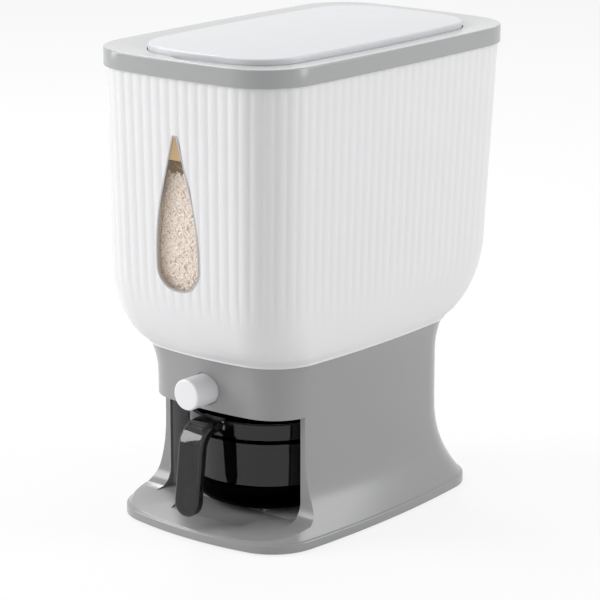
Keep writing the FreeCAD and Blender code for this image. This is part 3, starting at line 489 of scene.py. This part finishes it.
# Painted shade: the heap's dark edge colour stands for the shade in the gaps between packed
# grains; the loose grains get a milder one.
rice_heap_skin = rice_material("rice_heap_grains", (0.90, 0.865, 0.85), (0.66, 0.59, 0.54))
rice_grain_skin = rice_material("rice_loose_grains", (0.95, 0.925, 0.92), (0.87, 0.82, 0.79))


def rice_outline(z):
    """The hopper's inner outline at z, stepped in behind the window's flange."""
    half_x, front, back, side_r, end_r, corner_r = hopper_plan(z)
    inner = (half_x - rice_inset, front + rice_inset, back - rice_inset,
             side_r - rice_inset, end_r - rice_inset, corner_r - rice_inset)
    flange_back = front + flange_room + rice_inset / 2
    spots = [spot for spot, outward in outline_points(inner, heap_points)]
    for spot in spots:
        if abs(spot.x) < flange_half_width and spot.y < 0:
            spot.y = max(spot.y, flange_back)
    return spots


bpy.ops.object.select_all(action="DESELECT")
bpy.ops.mesh.primitive_circle_add(vertices=heap_points, radius=0.1, fill_type="NOTHING",
                                  location=(0, 0, 0))
heap = bpy.context.object
heap.name = "rice_heap"
bpy.ops.object.mode_set(mode="EDIT")
bpy.ops.mesh.select_all(action="SELECT")
for step in range(heap_steps + len(heap_crown) - 1):
    bpy.ops.mesh.extrude_edges_move(TRANSFORM_OT_translate={"value": (0, 0, 1)})
bpy.ops.mesh.edge_face_add()
bpy.ops.mesh.select_all(action="DESELECT")
bpy.ops.mesh.select_non_manifold()
bpy.ops.mesh.edge_face_add()
bpy.ops.object.mode_set(mode="OBJECT")
heap_levels = [rice_foot + (rice_top - rice_foot) * k / heap_steps for k in range(heap_steps + 1)]
heap_outlines = [rice_outline(z) for z in heap_levels]
for vertex in heap.data.vertices:
    bearing = math.atan2(vertex.co.x, -vertex.co.y) / (2 * math.pi)
    step = round(bearing * heap_points) % heap_points
    level = round(vertex.co.z)
    z = heap_levels[min(level, heap_steps)]
    spot = heap_outlines[min(level, heap_steps)][step]
    share = heap_crown[max(level - heap_steps, 0)]
    if level > heap_steps:
        ripple = (math.sin(spot.x * ripple_across * share)
                  * math.sin(spot.y * ripple_along * share))
        z += heap_swell * (1 - share) + heap_ripple * ripple
    vertex.co = (spot.x * share, spot.y * share, z)
bpy.ops.object.mode_set(mode="EDIT")
bpy.ops.mesh.select_all(action="SELECT")
bpy.ops.mesh.normals_make_consistent(inside=False)
bpy.ops.object.mode_set(mode="OBJECT")
bpy.ops.object.shade_smooth_by_angle(angle=crease)
heap.data.materials.append(rice_heap_skin)
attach(heap, "base")

bpy.ops.object.select_all(action="DESELECT")
bpy.ops.mesh.primitive_uv_sphere_add(segments=7, ring_count=5, radius=0.5, location=(0, 0, 0))
grain = bpy.context.object
bpy.ops.transform.resize(value=(grain_width, grain_height, grain_length))
bpy.ops.object.transform_apply(location=True, rotation=True, scale=True)
bpy.ops.object.shade_smooth()
grain.data.materials.append(rice_grain_skin)


def join_copies(name, source, places):
    """Copies of one mesh, each with its own mesh, put in their places and joined."""
    bpy.ops.object.select_all(action="DESELECT")
    copies = []
    for place in places:
        copy = bpy.data.objects.new(name, source.data.copy())
        copy.data.transform(place)
        bpy.context.scene.collection.objects.link(copy)
        copy.select_set(True)
        copies.append(copy)
    bpy.context.view_layer.objects.active = copies[0]
    bpy.ops.object.join()
    return copies[0]


def loose_patch(name, side, count, depth, seed):
    """Grains lying at all angles on a square patch in the XY plane."""
    dice = random.Random(seed)
    places = []
    for k in range(count):
        lie = Matrix.Rotation(math.radians(90 + dice.uniform(-24, 24)), 4, "X")
        turn = Matrix.Rotation(dice.uniform(0, math.tau), 4, "Z")
        spot = Matrix.Translation((dice.uniform(-side, side) / 2, dice.uniform(-side, side) / 2,
                                   dice.uniform(0, depth)))
        places.append(spot @ turn @ lie)
    return join_copies(name, grain, places)


def keep_inside(piece, edge):
    """Takes away the grains whose middle lies outside the heap's edge."""
    bpy.ops.object.select_all(action="DESELECT")
    piece.select_set(True)
    bpy.context.view_layer.objects.active = piece
    bpy.ops.object.mode_set(mode="EDIT")
    bpy.ops.mesh.select_all(action="DESELECT")
    bpy.ops.object.mode_set(mode="OBJECT")
    size = len(grain.data.vertices)
    for start in range(0, len(piece.data.vertices), size):
        group = piece.data.vertices[start:start + size]
        x = sum(vertex.co.x for vertex in group) / size
        y = sum(vertex.co.y for vertex in group) / size
        inside = False
        for here, after in zip(edge, edge[1:] + edge[:1]):
            if (here.y > y) != (after.y > y):
                crossing = here.x + (y - here.y) * (after.x - here.x) / (after.y - here.y)
                inside = inside != (x < crossing)
        for vertex in group:
            vertex.select = not inside
    bpy.ops.object.mode_set(mode="EDIT")
    bpy.ops.mesh.delete(type="VERT")
    bpy.ops.object.mode_set(mode="OBJECT")


patch_rows = 5
window_patch = loose_patch("window_patch", side=0.024, count=190, depth=0.0016, seed=3)
window_row = 0.0198
window_column = 0.0115
window_foot = 0.2035
behind_pane = 0.0081
face_out = Matrix.Rotation(math.radians(90), 4, "X")
top_patch = loose_patch("top_patch", side=0.060, count=225, depth=0.0012, seed=8)
top_row = 0.0525
top_column = 0.0585
top_middle = -0.004
above_heap = 0.0016
dice = random.Random(5)
places = []
for row in range(patch_rows):
    z = window_foot + window_row * row
    for column in (-1, 1):
        turn = Matrix.Rotation(dice.choice((0, 1, 2, 3)) * math.pi / 2, 4, "Z")
        spot = (column * window_column, hopper_plan(z)[1] + behind_pane, z)
        places.append(Matrix.Translation(spot) @ face_out @ turn)
window_grains = join_copies("rice_at_window", window_patch, places)
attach(window_grains, "base")
places = []
for row in range(patch_rows):
    for column in (-1, 0, 1):
        turn = Matrix.Rotation(dice.choice((0, 1, 2, 3)) * math.pi / 2, 4, "Z")
        spot = (column * top_column, top_middle + (row - patch_rows // 2) * top_row,
                rice_top + above_heap)
        places.append(Matrix.Translation(spot) @ turn)
top_grains = join_copies("rice_on_top", top_patch, places)
keep_inside(top_grains, rice_outline(rice_top))
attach(top_grains, "base")
for spare in (grain, window_patch, top_patch):
    bpy.data.objects.remove(spare)

# Lid frame. A grey moulded rim that caps the hopper, dished down to the lid, with a
# scoop for a finger and two steel pins for the hinge. Its upward faces carry a painted sheen.
frame_grey = satin_plastic("frame_grey_plastic", (0.345, 0.35, 0.352), 0.22)


def painted_sheen_on_upper_faces(material, colour):
    """Painted sheen: the faces that look up are mixed towards a paler colour, standing in for
    light from above; the band round them keeps its colour.
    """
    tree = material.node_tree
    shader = tree.nodes["Principled BSDF"]
    body_colour = shader.inputs["Base Color"].links[0].from_socket
    place = tree.nodes.new("ShaderNodeTexCoord")
    facing = tree.nodes.new("ShaderNodeSeparateXYZ")
    share = tree.nodes.new("ShaderNodeMapRange")
    share.inputs["From Min"].default_value = 0.70
    share.inputs["From Max"].default_value = 0.97
    skin = tree.nodes.new("ShaderNodeMix")
    skin.data_type = "RGBA"
    skin.inputs["B"].default_value = (*colour, 1)
    tree.links.new(place.outputs["Normal"], facing.inputs[0])
    tree.links.new(facing.outputs["Z"], share.inputs["Value"])
    tree.links.new(share.outputs["Result"], skin.inputs["Factor"])
    tree.links.new(body_colour, skin.inputs["A"])
    tree.links.new(skin.outputs["Result"], shader.inputs["Base Color"])


# Painted sheen: the frame's upward faces get this paler grey.
painted_sheen_on_upper_faces(frame_grey, (0.54, 0.545, 0.547))
rim = moulding("lid_frame", "lid_frame_moulding", "base", frame_grey, 32)
finish_node("lid_seal", soft_seal)
finish_node("lid_hinge_pins", steel)

# Lid. A white moulded panel with a rounded edge. The barrel at its back end turns
# on the frame's two steel pins, and it closes on the frame's soft seal.
lid_white = satin_plastic("lid_white_plastic", (0.62, 0.625, 0.65), 0.24)
lid = moulding("lid_panel", "lid_moulding", "lid", lid_white, 35)

# Cup. A dark smoke-clear cup with a rolled rim and a strap handle in front. Its
# belly and rim band are polished; the foot and the groove under the rim are dull.
belly_low = 0.0385
groove_low = 0.0733
groove_high = 0.0768
smoke_colour = (0.035, 0.034, 0.038)
dull_bend = 1.04


def smoke_plastic(name, bend):
    """Dark clear plastic with faint flow marks in its gloss; a low bend dulls it."""
    material, shader = varied_finish(name, smoke_colour, roughness=0.05, scale=60.0, detail=2.0,
                                     colour_drift=(0.95, 1.03), gloss_drift=(0.6, 1.4))
    shader.inputs["Transmission Weight"].default_value = 1.0
    shader.inputs["IOR"].default_value = bend
    return material


smoke_clear = smoke_plastic("smoke_clear_plastic", plastic_bend)
smoke_dull = smoke_plastic("smoke_dull_plastic", dull_bend)
cup = moulding("cup_body", "cup_moulding", "cup", smoke_clear, 32)
split_finish(cup, (belly_low, groove_low, groove_high), smoke_dull,
             ((0, belly_low), (groove_low, groove_high)))
handle = moulding("cup_handle", "handle_moulding", "cup", smoke_clear, 32)
